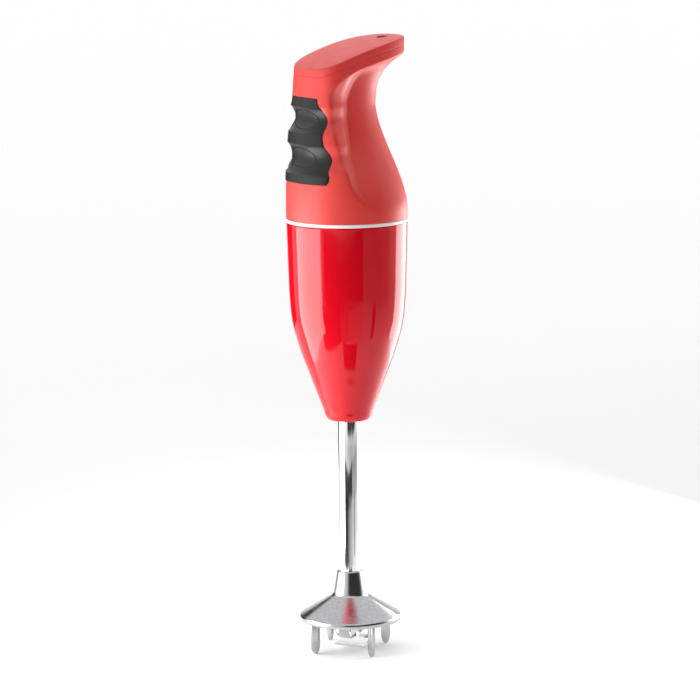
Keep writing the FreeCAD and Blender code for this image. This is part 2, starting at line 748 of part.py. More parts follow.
def spring_coil(label, radius, wire, turns, start, end):
    """A helical spring of twelve-sided wire between two points."""
    length = (end - start).Length
    height = length - wire * 2
    helix = Part.makeHelix(height / turns, height, radius)
    angles = [2 * math.pi * side / 12 for side in range(13)]
    section = Part.makePolygon([Vector(radius + wire * math.cos(angle), 0, wire * math.sin(angle))
                                for angle in angles])
    coil = Part.Wire(helix).makePipeShell([section], True, True)
    coil.translate(Vector(0, 0, wire))
    turn = FreeCAD.Rotation(Vector(0, 0, 1), end - start)
    coil.Placement = FreeCAD.Placement(start, turn).multiply(coil.Placement)
    return solid_feature(label, coil)


# ---------------------------------------------------------------- handle
def swell(share):
    """Half a cosine wave, falling from one to nought as share goes from nought to one."""
    return (1 + math.cos(math.pi * min(max(share, 0.0), 1.0))) / 2


def between(first, last, share):
    return first + (last - first) * share


def closed_section(half_width, front, rear, squareness, rear_squareness, height, points=40):
    """A rounded closed outline, each end round at squareness 2 and boxier above it."""
    middle, half_length = (rear - front) / 2, (rear + front) / 2
    places = []
    for index in range(points):
        angle = 2 * math.pi * index / points
        across, along = math.cos(angle), math.sin(angle)
        power = 2 / (squareness if along < 0 else rear_squareness)
        places.append(Vector(
            half_width * math.copysign(abs(across) ** power, across),
            middle + half_length * math.copysign(abs(along) ** power, along), height))
    curve = Part.BSplineCurve()
    curve.interpolate(Points=places, PeriodicFlag=True)
    return Part.Wire(curve.toShape())


def groove_at(height):
    """How far the two finger grooves bite into the front of the handle."""
    depth = 0.0
    for centre in (lower_groove_height.value, upper_groove_height.value):
        away = abs(height - centre) / groove_half_height.value
        if away < 1:
            depth += groove_depth.value * (1 + math.cos(math.pi * away)) / 2
    return depth


def front_at(height):
    """How far the handle reaches forward at a height above its base."""
    share = swell(height / beak_height.value) ** 0.85
    return between(block_front.value, body_radius.value, share) - groove_at(height)


def stacked(section_at, top, sink, count):
    """A solid skinned over evenly spaced level sections."""
    heights = [-sink + (top + sink) * step / count for step in range(count + 1)]
    return Part.makeLoft([section_at(height) for height in heights], True, True)


def outer_form(inset=0.0):
    """The full outline of the handle before its neck is scooped out."""
    def section_at(height):
        share = min(height / beak_height.value, 1)
        half_width = between(lid_half_width.value, body_radius.value, swell(share))
        rear = between(body_radius.value, beak_rear.value, share)
        squareness = between(2.0, 4.0, min(share / 0.85, 1) ** 1.8)
        return closed_section(half_width - inset - groove_at(height) * 0.8,
                              front_at(height) - inset, rear - inset, squareness,
                              between(2.0, 2.4, share), handle_base.value + height)
    return stacked(section_at, crown_rear_height.value + 4, 0, 26)


def neck_form(inset=0.0, sink=0.0):
    """The slim grip that widens down to the housing and back into the beak."""
    waist = waist_height.value
    rise = beak_height.value - waist

    def section_at(height):
        low = swell(height / waist)
        high = min(max(height - waist, 0) / rise, 1)
        base_radius = body_radius.value + neck_flare.value
        half_width = between(waist_half_width.value, base_radius, low ** 1.15)
        half_width += (lid_half_width.value - 2 - waist_half_width.value) * high ** 2.2
        front = between(waist_front.value, base_radius, low)
        rear = between(waist_rear.value, base_radius, low ** 0.75)
        rear += (beak_rear.value - 1 - waist_rear.value) * high ** 3.1
        squareness = between(2.0, 2.4, high)
        return closed_section(half_width - inset, front - inset, rear - inset, squareness,
                              squareness, handle_base.value + height)
    return stacked(section_at, crown_rear_height.value + 1, sink, 24)


def crown_cut(drop):
    """Everything above the crowned top of the handle, lowered by drop."""
    base = handle_base.value - drop
    front, rear = -block_front.value - 6, beak_rear.value + 6
    rise = (crown_rear_height.value - crown_front_height.value) / (
        beak_rear.value + block_front.value)

    def on_line(along):
        return base + crown_front_height.value + rise * (along + block_front.value)

    middle = (front + rear) / 2
    arc = Part.Arc(Vector(0, front, on_line(front)),
                   Vector(0, middle, on_line(middle) + crown_sag.value * 1.4),
                   Vector(0, rear, on_line(rear)))
    ceiling = base + 140
    corners = [Vector(0, rear, on_line(rear)), Vector(0, rear, ceiling),
               Vector(0, front, ceiling), Vector(0, front, on_line(front))]
    wire = Part.Wire([arc.toShape()] + list(Part.makePolygon(corners).Edges))
    half = body_radius.value + 10
    slab = Part.Face(wire).extrude(Vector(2 * half, 0, 0))
    slab.translate(Vector(-half, 0, 0))
    return slab


def shoulder_region():
    """The front block and the band under the lid, which the neck is scooped out of."""
    base = handle_base.value
    edge = [(34, 94.6), (24.8, 90.9), (6.1, 85.6), (-8.8, 80.9), (-18.0, 75.2), (-21.4, 67.0),
            (-20.4, 56), (-20.3, 45.5), (-17.4, 35), (-14.9, 22.6), (-10.9, 13.8), (-4.7, 7.2),
            (8, 2.2), (34, 0.4)]
    curve = Part.BSplineCurve()
    curve.interpolate([Vector(0, along, base + up) for along, up in edge])
    far = body_radius.value + 8
    corners = [Vector(0, 34, base + 0.4), Vector(0, 34, base - 12), Vector(0, -far, base - 12),
               Vector(0, -far, base + 130), Vector(0, 34, base + 130), Vector(0, 34, base + 94.6)]
    wire = Part.Wire([curve.toShape()] + list(Part.makePolygon(corners).Edges))
    slab = Part.Face(wire).extrude(Vector(2 * far, 0, 0))
    slab.translate(Vector(-far, 0, 0))
    return slab


def pad_prism(margin, depth):
    """The outline of the rubber pad, seen from the front, as a prism along Y."""
    base = handle_base.value
    low, high = pad_base_height.value - margin, pad_top_height.value + margin
    bridge = (lower_groove_height.value + upper_groove_height.value) / 2
    half_outline = [
        (pad_lower_half_width.value + margin, low + 1.5),
        (pad_lower_half_width.value + margin, low + 6),
        (pad_lower_half_width.value + margin + 0.6, lower_groove_height.value - 1),
        (pad_bridge_half_width.value + margin, bridge - 3),
        (pad_bridge_half_width.value + margin, bridge + 3),
        (pad_upper_half_width.value + margin, upper_groove_height.value - 1),
        (pad_upper_half_width.value + margin - 1.6, upper_groove_height.value + 4.5),
        (pad_top_half_width.value + margin, high - 5.5),
        (pad_top_half_width.value + margin, high)]
    outline = [(0, low)] + half_outline + [(-across, up) for across, up in reversed(half_outline)]
    places = [Vector(across, 0, base + up) for across, up in outline + outline[:1]]
    return Part.Face(Part.makePolygon(places)).extrude(Vector(0, -depth, 0))


def oval_prism(height, margin, start, depth):
    """An oval button outline at a height on the handle, as a prism along Y."""
    centre = Vector(0, start, handle_base.value + height)
    oval = Part.Ellipse(centre + Vector(cap_half_width.value + margin, 0, 0),
                        centre + Vector(0, 0, cap_half_height.value + margin), centre)
    return Part.Face(Part.Wire(oval.toShape())).extrude(Vector(0, -depth, 0))


def switch_pocket():
    """Room for the switch block, inside the front of the handle."""
    gap = joint_gap.value
    half = switch_half_width.value + gap
    low = handle_base.value + lower_groove_height.value - 8 - gap
    high = handle_base.value + upper_groove_height.value + 6 + gap
    return Part.makeBox(half * 2, switch_depth.value + gap, high - low,
                        Vector(-half, -switch_front.value - gap, low))


def make_handle():
    base = handle_base.value
    outer = outer_form()
    grip = outer.common(neck_form())
    front = outer.common(shoulder_region())
    bulk = grip.fuse(front)
    if bulk.Volume > outer.Volume * 0.9:
        raise RuntimeError("the neck of the handle was not scooped out")
    shell = bulk.cut(crown_cut(lid_height.value))
    spigot_outer = body_radius.value - housing_wall.value - slide_clearance.value * 3
    spigot = Part.makeCylinder(spigot_outer, spigot_depth.value + handle_wall.value,
                               Vector(0, 0, base - spigot_depth.value))
    shell = shell.fuse(spigot)
    hollow = neck_form(handle_wall.value + spigot_wall.value - 0.3, 0.5)
    hollow = hollow.fuse(Part.makeCylinder(spigot_outer - spigot_wall.value,
                                           spigot_depth.value + 4,
                                           Vector(0, 0, base - spigot_depth.value - 1)))
    shell = shell.cut(hollow).cut(switch_pocket())
    recess = outer.cut(outer_form(pad_thickness.value)).common(
        pad_prism(slide_clearance.value, 60))
    shell = shell.cut(recess)
    sunk = pad_thickness.value + cap_skirt.value + cap_travel.value + joint_gap.value
    cap_room = outer.cut(outer_form(sunk))
    for height in (lower_groove_height.value, upper_groove_height.value):
        shell = shell.cut(cap_room.common(oval_prism(height, cap_gap.value, 0, 60)))
        shell = shell.cut(Part.makeCylinder(spring_radius.value + 0.9, 30,
                                            Vector(0, -switch_front.value, base + height),
                                            Vector(0, -1, 0)))
    boss_radius = inlet_radius.value + gland_wall.value
    along = inlet_setback.value
    gland_base = base + crown_rear_height.value - lid_height.value - gland_height.value
    gland_rod = Part.makeCylinder(boss_radius, 30, Vector(0, along, gland_base))
    solid_feature("handle_shell", shell.cut(gland_rod))

    lid = outer.common(crown_cut(lid_height.value)).cut(crown_cut(0))
    inner = outer_form(lid_wall.value).common(crown_cut(lid_height.value + 1)).cut(
        crown_cut(lid_wall.value))
    lid = lid.cut(inner)
    boss = Part.makeCylinder(boss_radius, 30, Vector(0, along, base + 80)).common(
        crown_cut(lid_height.value - 0.4)).cut(crown_cut(1))
    bore = Part.makeCylinder(inlet_radius.value, 60, Vector(0, along, base + 70))
    lid = lid.fuse(boss).cut(bore)
    solid_feature("top_cover", lid)

    solid_feature("cord_gland", gland_rod.cut(crown_cut(lid_height.value - 0.4)).cut(bore))


def make_switch():
    base = handle_base.value
    proud = outer_form(-pad_proud.value)
    skin = proud.cut(outer_form(pad_thickness.value)).common(pad_prism(0, 60))
    for height in (lower_groove_height.value, upper_groove_height.value):
        skin = skin.cut(oval_prism(height, cap_gap.value / 2, 0, 60))
    solid_feature("switch_pad", skin)
    caps = proud.cut(outer_form(pad_thickness.value + cap_skirt.value))
    front = -switch_front.value
    for name, height in (("lower", lower_groove_height.value), ("upper", upper_groove_height.value)):
        cap = caps.common(oval_prism(height, 0, 0, 60))
        back = pad_thickness.value - front_at(height)
        stop = front - cap_travel.value - joint_gap.value
        rod = Part.makeCylinder(plunger_radius.value, stop - back,
                                Vector(0, back, base + height), Vector(0, 1, 0))
        solid_feature(name + "_button", cap.fuse(rod))
        spring_coil(name + "_button_spring", spring_radius.value, 0.35, 4,
                    Vector(0, back + cap_skirt.value + 0.2, base + height),
                    Vector(0, front, base + height))
    low = handle_base + lower_groove_height - 8
    high = handle_base + upper_groove_height + 6
    keep(block("SwitchBlock", (-switch_half_width, -switch_front, low),
               (switch_half_width, -switch_front + switch_depth, high)), "switch_block")
    rear = -switch_front + switch_depth
    keep(block("CircuitBoard", (-switch_half_width - 1.5, rear, low - 12),
               (switch_half_width + 1.5, rear + 1.6, high - 2)), "circuit_board")
    keep(cylinder("Capacitor", Size.of(4.2), Size.of(14.0), (0, rear + 1.6 + 4.2, low - 8)),
         "suppression_capacitor")


make_guard()
make_stem()
make_drive_shaft()
make_blade()
make_housing()
make_rotor()
make_stator()
make_motor_frame()
make_brushes()
make_handle()
make_switch()

# ---------------------------------------------------------------- check and write
document.recompute()
for thing in document.Objects:
    state = set(thing.State)
    if state & {"Invalid", "Error"}:
        raise RuntimeError("{} failed: {}".format(thing.Label, sorted(state)))
os.makedirs("parts", exist_ok=True)
for piece in pieces:
    shape = piece.Shape
    if shape.isNull() or not shape.isValid() or not shape.Solids:
        raise RuntimeError("{} has no valid solid".format(piece.Label))
    shape.exportStep(os.path.join("parts", piece.Label + ".step"))
    print("{:24s} {:10.1f} mm3, {} solid(s)".format(piece.Label, shape.Volume, len(shape.Solids)))
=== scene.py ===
# %% [markdown]
# An immersion blender is a slim motor in a bell-shaped barrel, with a pistol
# grip above it and a steel stem below it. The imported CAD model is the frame:
# it fixes every size and says what moves. This script builds the visible
# skins around that frame, in millimetres first and in metres at the end.

# %% Load the frame
import json
import math

import bmesh
import bpy
import numpy as np
from mathutils import Matrix, Vector


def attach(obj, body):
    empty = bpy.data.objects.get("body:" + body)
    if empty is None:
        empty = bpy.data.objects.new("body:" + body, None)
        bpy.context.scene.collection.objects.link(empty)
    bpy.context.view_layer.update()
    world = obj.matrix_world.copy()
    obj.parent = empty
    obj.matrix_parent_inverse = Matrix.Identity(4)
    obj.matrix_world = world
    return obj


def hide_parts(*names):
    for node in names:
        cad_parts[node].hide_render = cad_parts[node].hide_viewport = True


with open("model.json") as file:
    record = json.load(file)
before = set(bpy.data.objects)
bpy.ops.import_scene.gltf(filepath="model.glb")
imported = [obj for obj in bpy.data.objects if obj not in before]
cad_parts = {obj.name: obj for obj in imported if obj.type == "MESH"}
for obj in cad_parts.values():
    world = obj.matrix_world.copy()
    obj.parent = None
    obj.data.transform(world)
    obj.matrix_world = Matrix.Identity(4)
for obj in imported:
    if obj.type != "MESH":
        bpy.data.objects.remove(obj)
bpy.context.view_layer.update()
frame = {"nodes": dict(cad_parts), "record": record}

MM = 0.001

# %% [markdown]
# A turned part is drawn as half a section and spun about the stem's axis.
# Bevelling the corners of the section before the spin gives every edge a true
# radius, which is what catches the light on pressed steel and moulded plastic.

# %% Tools for turned parts and for finishing a mesh
def section(corners):
    """A closed outline of (radius, height, rounding) corners, ready to spin."""
    bm = bmesh.new()
    points = [bm.verts.new((radius, 0, height)) for radius, height, rounding in corners]
    for first, last in zip(points, points[1:] + points[:1]):
        bm.edges.new((first, last))
    for point, (radius, height, rounding) in zip(points, corners):
        if rounding:
            bmesh.ops.bevel(bm, geom=[point], offset=rounding, offset_type="OFFSET", segments=4,
                            profile=0.5, affect="VERTICES", material=-1)
    return bm


def spun(corners, steps=128):
    """Spin a closed section once round the stem's axis."""
    bm = section(corners)
    bmesh.ops.spin(bm, geom=bm.verts[:] + bm.edges[:], cent=(0, 0, 0), axis=(0, 0, 1),
                   dvec=(0, 0, 0), angle=math.tau, steps=steps, use_merge=True,
                   use_duplicate=False)
    return bm


def piece_from(name, bm, crease=35, merge=1e-4):
    """Close a mesh made in millimetres and make it a piece in metres."""
    bmesh.ops.remove_doubles(bm, verts=bm.verts, dist=merge)
    bmesh.ops.recalc_face_normals(bm, faces=bm.faces)
    bmesh.ops.scale(bm, vec=(MM, MM, MM), verts=bm.verts)
    mesh = bpy.data.meshes.new(name)
    bm.to_mesh(mesh)
    bm.free()
    mesh.shade_smooth()
    mesh.set_sharp_from_angle(angle=math.radians(crease))
    piece = bpy.data.objects.new(name, mesh)
    bpy.context.scene.collection.objects.link(piece)
    print(f"{name}: {len(mesh.polygons)} faces")
    return piece


def carve(piece, bm, crease=35):
    """Take a closed cutter, made in millimetres, away from a piece."""
    cutter = piece_from("cutter", bm)
    change = piece.modifiers.new("carve", "BOOLEAN")
    change.operation, change.solver, change.object = "DIFFERENCE", "EXACT", cutter
    graph = bpy.context.evaluated_depsgraph_get()
    mesh = bpy.data.meshes.new_from_object(piece.evaluated_get(graph))
    piece.modifiers.clear()
    piece.data = mesh
    mesh.shade_smooth()
    mesh.set_sharp_from_angle(angle=math.radians(crease))
    bpy.data.objects.remove(cutter)
    return piece


def fit(piece, body, nodes, finish):
    """Say what a piece rides on, what it stands for and how it is finished."""
    piece.data.materials.clear()
    piece.data.materials.append(finish)
    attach(piece, body)
    for node in nodes:
        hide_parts(node)


# %% [markdown]
# Finishes come next. Each one is a Principled shader whose colour, roughness
# and bump are moved a little by noise at a real scale: moulding grain of a few
# tenths of a millimetre, hairline polishing marks, and slow smudges.

# %% Tools for finishes
def shader(name, colour, roughness, metallic=0.0, ior=1.5):
    """A new finish, with its fixed values set on the shader's own sockets."""
    material = bpy.data.materials.new(name)
    material.use_nodes = True
    tree = material.node_tree
    principled = tree.nodes["Principled BSDF"]
    principled.inputs["Base Color"].default_value = (*colour, 1)
    principled.inputs["Roughness"].default_value = roughness
    principled.inputs["Metallic"].default_value = metallic
    principled.inputs["IOR"].default_value = ior
    return material, tree, principled


def stretched(tree, stretch):
    """Object coordinates stretched along an axis, for a directional pattern."""
    place = tree.nodes.new("ShaderNodeTexCoord")
    mapping = tree.nodes.new("ShaderNodeMapping")
    mapping.inputs["Scale"].default_value = stretch
    tree.links.new(place.outputs["Object"], mapping.inputs["Vector"])
    return mapping.outputs["Vector"]


def noise(tree, scale, detail=2.0, stretch=(1, 1, 1)):
    """Noise with about scale features to the metre."""
    texture = tree.nodes.new("ShaderNodeTexNoise")
    texture.inputs["Scale"].default_value = scale
    texture.inputs["Detail"].default_value = detail
    tree.links.new(stretched(tree, stretch), texture.inputs["Vector"])
    return texture.outputs["Fac"]


def ramp(tree, value, low, high, start=0.3, stop=0.7):
    """Turn a noise value into a value or colour between low and high."""
    node = tree.nodes.new("ShaderNodeValToRGB")
    ends = [(end, end, end) if isinstance(end, float) else end for end in (low, high)]
    for element, place, colour in zip(node.color_ramp.elements, (start, stop), ends):
        element.position, element.color = place, (*colour, 1)
    tree.links.new(value, node.inputs["Fac"])
    return node.outputs["Color"]


def bump(tree, principled, value, strength, depth):
    """Raise the surface by a noise value, depth in metres."""
    node = tree.nodes.new("ShaderNodeBump")
    node.inputs["Strength"].default_value = strength
    node.inputs["Distance"].default_value = depth
    tree.links.new(value, node.inputs["Height"])
    tree.links.new(node.outputs["Normal"], principled.inputs["Normal"])


def moulded(name, dark, light, roughness, grain=2600, depth=0.00006, ior=1.5, swirl=30,
            strength=0.5):
    """Moulded plastic or rubber with fine grain and slow changes of tone."""
    material, tree, principled = shader(name, light, roughness[0], ior=ior)
    tone = ramp(tree, noise(tree, swirl), dark, light)
    tree.links.new(tone, principled.inputs["Base Color"])
    patches = ramp(tree, noise(tree, swirl * 6, 4), *roughness)
    tree.links.new(patches, principled.inputs["Roughness"])
    bump(tree, principled, noise(tree, grain, 3), strength, depth)
    return material


def metal(name, dark, light, roughness, stretch=(1, 1, 1), scale=400, depth=0.00001,
          strength=0.15):
    """Metal with polishing marks drawn out along one direction."""
    material, tree, principled = shader(name, light, roughness[0], metallic=1.0)
    marks = noise(tree, scale, 4, stretch)
    tree.links.new(ramp(tree, marks, dark, light), principled.inputs["Base Color"])
    smudges = noise(tree, scale / 5, 3, stretch)
    tree.links.new(ramp(tree, smudges, *roughness), principled.inputs["Roughness"])
    bump(tree, principled, marks, strength, depth)
    return material


# %% Finishes that show
coral = moulded("coral_soft_touch", (0.74, 0.046, 0.037), (0.79, 0.057, 0.046), (0.36, 0.46),
                grain=2200, depth=0.00008, strength=0.55)
ruby = moulded("ruby_gloss", (0.58, 0.0012, 0.009), (0.64, 0.002, 0.012), (0.05, 0.10),
               grain=900, depth=0.00001, ior=1.45, strength=0.06)
ivory = moulded("white_band", (0.83, 0.83, 0.82), (0.88, 0.88, 0.87), (0.28, 0.38), grain=3000,
                depth=0.00002)
rubber = moulded("charcoal_rubber", (0.011, 0.011, 0.012), (0.018, 0.018, 0.019), (0.34, 0.44),
                 grain=4200, depth=0.00005, strength=0.4, ior=1.36)
chrome = metal("polished_chrome", (0.80, 0.80, 0.82), (0.88, 0.88, 0.89), (0.035, 0.07),
               stretch=(1, 1, 0.05), scale=700, strength=0.03)
satin = metal("satin_steel", (0.40, 0.40, 0.415), (0.52, 0.52, 0.53), (0.17, 0.25),
              stretch=(1, 1, 6), scale=500, strength=0.12)
blade_steel = metal("blade_steel", (0.62, 0.62, 0.63), (0.80, 0.80, 0.80), (0.14, 0.26),
                    stretch=(5, 1, 1), scale=900, strength=0.15)
print(len(bpy.data.materials), "finishes so far")

# %% [markdown]
# Most of the motor never shows, but it is there, so each hidden part gets its
# own plain finish too: lacquered copper, sintered bronze, carbon, fibreglass
# board and so on. They are made from a table of slots in the record.

# %% Finishes for the parts inside
inside = {
    "seal_rubber": moulded("seal_rubber", (0.012, 0.012, 0.012), (0.022, 0.022, 0.022),
                           (0.5, 0.65), grain=3000),
    "bush_bronze": metal("bush_bronze", (0.42, 0.25, 0.11), (0.55, 0.34, 0.16), (0.3, 0.5),
                         scale=2500),
    "frame_aluminium": metal("cast_aluminium", (0.50, 0.50, 0.51), (0.66, 0.66, 0.66), (0.35, 0.5),
                             scale=1500, strength=0.4),
    "shaft_steel": metal("ground_steel", (0.52, 0.52, 0.53), (0.68, 0.68, 0.69), (0.18, 0.3),
                         stretch=(1, 1, 8), scale=800),
    "core_iron": metal("stacked_sheet_iron", (0.16, 0.16, 0.17), (0.26, 0.26, 0.27), (0.45, 0.6),
                       stretch=(1, 1, 20), scale=160, strength=0.6),
    "winding_copper": metal("lacquered_copper", (0.42, 0.14, 0.05), (0.66, 0.27, 0.10),
                            (0.25, 0.4), stretch=(1, 1, 0.2), scale=1800, strength=0.7),
    "commutator_copper": metal("commutator_copper", (0.60, 0.28, 0.15), (0.76, 0.40, 0.24),
                               (0.2, 0.35), stretch=(1, 1, 8), scale=900),
    "holder_brass": metal("holder_brass", (0.55, 0.40, 0.14), (0.68, 0.52, 0.20), (0.25, 0.4)),
    "brush_carbon": moulded("brush_carbon", (0.012, 0.012, 0.013), (0.03, 0.03, 0.032),
                            (0.55, 0.7), grain=5000),
    "fan_plastic": moulded("fan_plastic", (0.03, 0.03, 0.032), (0.045, 0.045, 0.05), (0.45, 0.6)),
    "board_green": moulded("board_green", (0.01, 0.10, 0.035), (0.02, 0.16, 0.06), (0.3, 0.45),
                           grain=1200),
    "capacitor_yellow": moulded("capacitor_yellow", (0.70, 0.42, 0.04), (0.80, 0.52, 0.07),
                                (0.35, 0.5)),
    "housing_red": ruby, "handle_red": coral, "trim_white": ivory, "pad_rubber": rubber,
    "stem_chrome": chrome, "guard_steel": satin, "blade_steel": blade_steel,
}
for entry in frame["record"]["subparts"]:
    mesh = frame["nodes"][entry["node"]].data
    mesh.materials.clear()
    mesh.materials.append(inside[entry["material_slot"]])
print("every frame node has a finish")

# %% [markdown]
# The guard is a pressed steel bell with a rolled rim and a polished collar that
# grips the stem. It is one turned section, so a spin makes it. Its four prongs
# are flat bullets of the same sheet: an outline, extruded and bevelled.

# %% Guard, collar and prongs
rim_radius, rim_low, rim_high = 28.4, 17.6, 20.3
collar_low, collar_high = 31.7, 45.4
stem_radius = 6.0
guard_bell = piece_from("guard_bell", spun([
    (5.0, 27.1, 0.2), (7.9, 27.1, 0.2), (7.9, 29.8, 0.6), (25.2, 19.7, 1.2),
    (26.9, rim_low, 0.25), (rim_radius, rim_low, 0.3), (rim_radius, rim_high, 1.0),
    (9.5, collar_low, 1.2), (7.2, collar_high - 0.2, 0.6), (stem_radius, collar_high, 0.1),
    (stem_radius, 31.4, 0), (5.0, 31.4, 0)], steps=160), crease=30)
fit(guard_bell, "housing", ["guard"], satin)


def prong_outline(reach=22.8, half_depth=2.7, point=7.5, top=20.2):
    """A bullet shape in the XZ plane, from the bell's wall down to the floor."""
    side = []
    for step in range(11):
        rise = step / 10
        side.append((half_depth * math.sqrt(1 - (1 - rise) ** 2.2), rise * point))
    side.append((half_depth, top))
    return ([(reach + wide, up) for wide, up in side]
            + [(reach - wide, up) for wide, up in reversed(side[1:])])


prongs = bmesh.new()
for turn in range(4):
    outline = [prongs.verts.new((along, -1.0, up)) for along, up in prong_outline()]
    face = prongs.faces.new(outline)
    grown = bmesh.ops.extrude_face_region(prongs, geom=[face])["geom"]
    raised = [item for item in grown if isinstance(item, bmesh.types.BMVert)]
    bmesh.ops.translate(prongs, vec=(0, 2.0, 0), verts=raised)
    bmesh.ops.rotate(prongs, cent=(0, 0, 0), matrix=Matrix.Rotation(math.pi / 2, 3, "Z"),
                     verts=prongs.verts[:])
flat = [edge for edge in prongs.edges if len(edge.link_faces) == 2
        and edge.calc_face_angle(0) > math.radians(60)]
bmesh.ops.bevel(prongs, geom=flat, offset=0.28, offset_type="OFFSET", segments=2, profile=0.5,
                affect="EDGES", material=-1, clamp_overlap=True)
prong_set = piece_from("guard_prongs", prongs, crease=40)
fit(prong_set, "housing", ["guard"], satin)

# %% [markdown]
# The stem is a plain chromed tube. All its looks come from what it mirrors, so
# it only has to be truly round and smooth.

# %% Stem
stem = piece_from("stem", spun([
    (5.0, 31.4, 0), (stem_radius, 31.4, 0), (stem_radius, 145.4, 0.2), (5.0, 145.4, 0)],
    steps=160))
fit(stem, "housing", ["stem_tube"], chrome)

# %% [markdown]
# The barrel is a long bell of gloss plastic. Its outline is measured at
# stations up its height and smoothed between them, so that reflections run
# down it without a kink, and the section is closed by an inner wall.

# %% Motor barrel and the white band above it
barrel_low, barrel_high, wall = 131.0, 241.8, 2.4
stations = np.array([
    (133.5, 12.9), (135.7, 13.6), (139, 14.7), (142.5, 16.1), (146, 17.5), (149.3, 18.7),
    (152.6, 20.0), (156, 21.2), (159.4, 22.5), (162.7, 23.8), (166, 25.05), (169.5, 26.25),
    (173, 27.35), (176, 28.25), (179.6, 29.3), (183, 30.15), (186, 30.8), (190, 31.4),
    (196, 31.95), (203, 32.4), (220, 32.9), (236, 33.35), (241.8, 33.5)])


def eased(places, values, at, reach=4.0):
    """Values between stations, averaged over a short reach to take out the kinks."""
    spread = np.linspace(-reach, reach, 17)
    ends = np.clip(at[:, None] + spread[None, :], places[0], places[-1])
    weight = 1 + np.cos(np.pi * spread / reach)
    return (np.interp(ends, places, values) * weight).sum(1) / weight.sum()


levels = np.linspace(134.0, barrel_high, 90)
girth = eased(stations[:, 0], stations[:, 1], levels)
outline = [(stem_radius + 1.6, barrel_low, 0.2), (11.6, barrel_low, 1.3)]
outline += [(float(radius), float(level), 0.25 if level == barrel_high else 0)
            for radius, level in zip(girth, levels)]
outline += [(float(radius) - wall, float(level), 0) for radius, level
            in list(zip(girth, levels))[::-6]]
outline += [(9.0, barrel_low + wall, 0), (stem_radius + 1.6, barrel_low + wall, 0)]
barrel = piece_from("motor_barrel", spun(outline, steps=160), crease=30)
fit(barrel, "housing", ["motor_housing"], ruby)

band = piece_from("white_band", spun([
    (31.15, barrel_high, 0), (33.62, barrel_high, 0.3), (33.62, 243.6, 0.3), (31.15, 243.6, 0)],
    steps=160))
fit(band, "housing", ["trim_ring"], ivory)

# %% [markdown]
# The handle is a sculpted grip: a full rounded block in front, a slim neck
# scooped out behind it, and a beak that reaches back over the hand. No single
# operator makes that, so it is described the way a modeller thinks of it, as
# the block, cut to a neck behind one crease line, with a soft hollow between
# them. Points on level rings are then moved out to that surface.

# %% The handle's form
handle_base = 243.6
beak_height, waist_height = 89.3, 62.3
parting_drop = 4.2


def swell(share):
    return (1 + np.cos(np.pi * np.clip(share, 0, 1))) / 2


def finger_grooves(height, depth=2.4, reach=8.4):
    """How deep the two finger grooves bite at a height above the handle's base."""
    bite = 0
    for centre in (35.2, 55.6):
        bite = bite + depth * swell(np.abs(height - centre) / reach)
    return bite


def outside(x, y, half_width, front, rear, squareness, rear_squareness):
    """About how far a point lies outside a rounded outline, in millimetres."""
    middle, half_length = (rear - front) / 2, (rear + front) / 2
    squareness = np.where(y > middle, rear_squareness, squareness)
    share = (np.abs(x / half_width) ** squareness
             + np.abs((y - middle) / half_length) ** squareness) ** (1 / squareness)
    return np.hypot(x, y - middle) * (1 - 1 / np.maximum(share, 1e-4))


def block_size(height, bite):
    """Half width, front, rear and both squarenesses of the full block at a height."""
    share = np.clip(height / beak_height, 0, 1)
    full = swell(share)
    return (22.8 + 10.7 * full - 0.8 * bite, 25.0 + 8.5 * full ** 0.85 - bite,
            33.5 - 0.5 * share, 2 + 2.0 * np.minimum(share / 0.85, 1) ** 1.8, 2 + 0.4 * share)


def neck_size(height):
    """Half width, front, rear and both squarenesses of the scooped neck at a height."""
    low = swell(height / waist_height)
    high = np.clip((height - waist_height) / (beak_height - waist_height), 0, 1)
    return (14.4 + 19.7 * low ** 1.15 + 6.4 * high ** 2.2, 23.0 + 11.1 * low,
            17.1 + 17.0 * low ** 0.75 + 14.9 * high ** 3.1, 2 + 0.4 * high, 2 + 0.4 * high)


def crown(y):
    """Height of the crowned top along the handle, above its base."""
    return 82.0 + 16.2 * (y + 25.0) / 58.0 + 3.78 * (1 - ((y - 4.0) / 35.0) ** 2)


crease = np.array([
    (36, 95.4), (24.8, 90.9), (6.1, 85.6), (-8.8, 80.9), (-18.0, 75.2), (-21.4, 67.0),
    (-20.4, 56), (-20.3, 45.5), (-17.4, 35), (-14.9, 22.6), (-10.9, 13.8), (-4.7, 7.2),
    (8, 2.2), (36, 0.4)])


def rounded_line(points, cuts=14):
    """A smooth line through points, by Catmull and Rom's rule."""
    padded = np.vstack([2 * points[0] - points[1], points, 2 * points[-1] - points[-2]])
    line = []
    for a, b, c, d in zip(padded, padded[1:], padded[2:], padded[3:]):
        for step in range(cuts):
            t = step / cuts
            line.append(0.5 * (2 * b + (c - a) * t + (2 * a - 5 * b + 4 * c - d) * t * t
                               + (3 * b - a - 3 * c + d) * t ** 3))
    return np.array(line + [points[-1]])


def crease_map(step=0.5):
    """Distance behind the crease, on a table of places seen from the side."""
    line = rounded_line(crease)
    y, height = np.meshgrid(np.arange(-40, 41, step), np.arange(-6, 112, step), indexing="ij")
    best = np.full(y.shape, 1e9)
    signed = np.zeros(y.shape)
    for (y0, h0), (y1, h1) in zip(line, line[1:]):
        run, rise = y1 - y0, h1 - h0
        t = np.clip(((y - y0) * run + (height - h0) * rise) / (run * run + rise * rise), 0, 1)
        away = np.hypot(y - y0 - t * run, height - h0 - t * rise)
        side = np.sign(run * (height - h0) - rise * (y - y0))
        nearer = away < best
        best = np.where(nearer, away, best)
        signed = np.where(nearer, away * side, signed)
    return signed


crease_table = crease_map()


